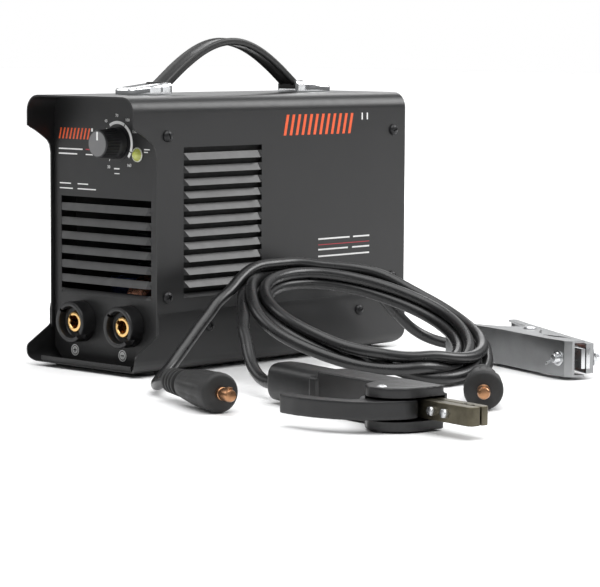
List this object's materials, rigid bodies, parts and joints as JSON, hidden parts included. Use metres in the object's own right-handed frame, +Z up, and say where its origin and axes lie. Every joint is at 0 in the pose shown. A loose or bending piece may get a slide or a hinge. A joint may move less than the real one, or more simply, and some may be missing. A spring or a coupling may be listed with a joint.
{
  "type": "stick welding inverter",
  "caption": "Portable stick welding inverter in a louvred black steel case with strap handle, current knob, two bayonet sockets, and its holder and earth clamp leads.",
  "frame": {"origin": "on the floor under the middle of the machine's own bounding box, without the lead set", "axes": "+Z up, front panel faces -Y, the coiled leads lie on the +X side"},
  "size_m": [0.478, 0.4159, 0.2455],
  "materials": {
    "case_paint": "satin black powder coat",
    "panel_paint": "satin black powder coat",
    "handle_plastic": "soft satin black",
    "cap_chrome": "polished",
    "screw_black": "blackened steel",
    "foot_rubber": "matte",
    "socket_plastic": "satin black",
    "contact_brass": "machined",
    "knob_plastic": "satin black",
    "shaft_aluminium": "satin",
    "pot_steel": "satin",
    "lens_green": "clear yellow-green",
    "switch_plastic": "black",
    "fan_plastic": "black",
    "guard_steel": "satin",
    "gland_plastic": "black nylon",
    "board_laminate": "green solder mask",
    "sink_aluminium": "extruded",
    "core_ferrite": "grey ferrite",
    "winding_copper": "enamelled copper",
    "capacitor_sleeve": "blue sleeve",
    "lead_rubber": "satin black",
    "plug_rubber": "matte black",
    "pin_copper": "copper alloy",
    "holder_plastic": "satin black",
    "jaw_brass": "dark tarnished brass",
    "clamp_steel": "zinc plated",
    "braid_copper": "braided copper"
  },
  "bodies": {
    "machine": {"top_cover": "case_paint", "base_tray": "case_paint", "front_panel": "panel_paint", "rear_panel": "panel_paint", "handle_strap": "handle_plastic", "handle_cap_front": "cap_chrome", "handle_cap_rear": "cap_chrome", "socket_body_positive": "socket_plastic", "socket_body_negative": "socket_plastic", "socket_contact_positive": "contact_brass", "socket_contact_negative": "contact_brass", "potentiometer": "pot_steel", "indicator_lens": "lens_green", "switch_housing": "switch_plastic", "fan_frame": "fan_plastic", "fan_guard": "guard_steel", "mains_gland": "gland_plastic", "main_board": "board_laminate", "control_board": "board_laminate", "heatsink_right": "sink_aluminium", "heatsink_left": "sink_aluminium", "transformer_core": "core_ferrite", "transformer_winding": "winding_copper", "output_choke": "winding_copper", "smoothing_capacitor_1": "capacitor_sleeve", "smoothing_capacitor_2": "capacitor_sleeve", "lead_coil": "lead_rubber", "holder_lead_plug_end": "lead_rubber", "holder_lead_tool_end": "lead_rubber", "earth_lead_plug_end": "lead_rubber", "earth_lead_clamp_end": "lead_rubber", "holder_plug_body": "plug_rubber", "holder_plug_pin": "pin_copper", "earth_plug_body": "plug_rubber", "earth_plug_pin": "pin_copper", "holder_body": "holder_plastic", "holder_jaw_fixed": "jaw_brass", "clamp_jaw_fixed": "clamp_steel", "clamp_pivot": "clamp_steel", "clamp_spring": "clamp_steel", "clamp_braid": "braid_copper", "cover_screw_right_1": "screw_black", "cover_screw_right_2": "screw_black", "cover_screw_right_3": "screw_black", "cover_screw_right_4": "screw_black", "cover_screw_left_1": "screw_black", "cover_screw_left_2": "screw_black", "cover_screw_left_3": "screw_black", "cover_screw_left_4": "screw_black", "rubber_foot_1": "foot_rubber", "rubber_foot_2": "foot_rubber", "rubber_foot_3": "foot_rubber", "rubber_foot_4": "foot_rubber"},
    "knob": {"current_knob": "knob_plastic", "potentiometer_shaft": "shaft_aluminium"},
    "rocker": {"switch_rocker": "switch_plastic"},
    "fan": {"fan_rotor": "fan_plastic"},
    "lever": {"holder_lever": "holder_plastic", "holder_jaw_moving": "jaw_brass"},
    "clamp_jaw": {"clamp_jaw_moving": "clamp_steel"}
  },
  "joints": [
    {"name": "knob_turn", "type": "hinge", "parent": "machine", "child": "knob", "pos_m": [0.0131, -0.139, 0.1683], "axis": [0, -1, 0], "range_deg": [-135, 135]},
    {"name": "power_rocker", "type": "hinge", "parent": "machine", "child": "rocker", "pos_m": [0.027, 0.1322, 0.153], "axis": [1, 0, 0], "range_deg": [0, 20]},
    {"name": "fan_spin", "type": "hinge", "parent": "machine", "child": "fan", "pos_m": [0, 0.121, 0.065], "axis": [0, 1, 0], "continuous": true},
    {"name": "lever_squeeze", "type": "hinge", "parent": "machine", "child": "lever", "pos_m": [0.35028, -0.21556, 0.015], "axis": [0, 0, -1], "range_deg": [0, 13], "stiffness_Nm_per_rad": 0.8, "springref_deg": -17.19},
    {"name": "clamp_open", "type": "hinge", "parent": "machine", "child": "clamp_jaw", "pos_m": [0.2115, 0.11, 0.0156], "axis": [0, 0, -1], "range_deg": [0, 16], "stiffness_Nm_per_rad": 1, "springref_deg": -17.19}
  ]
}
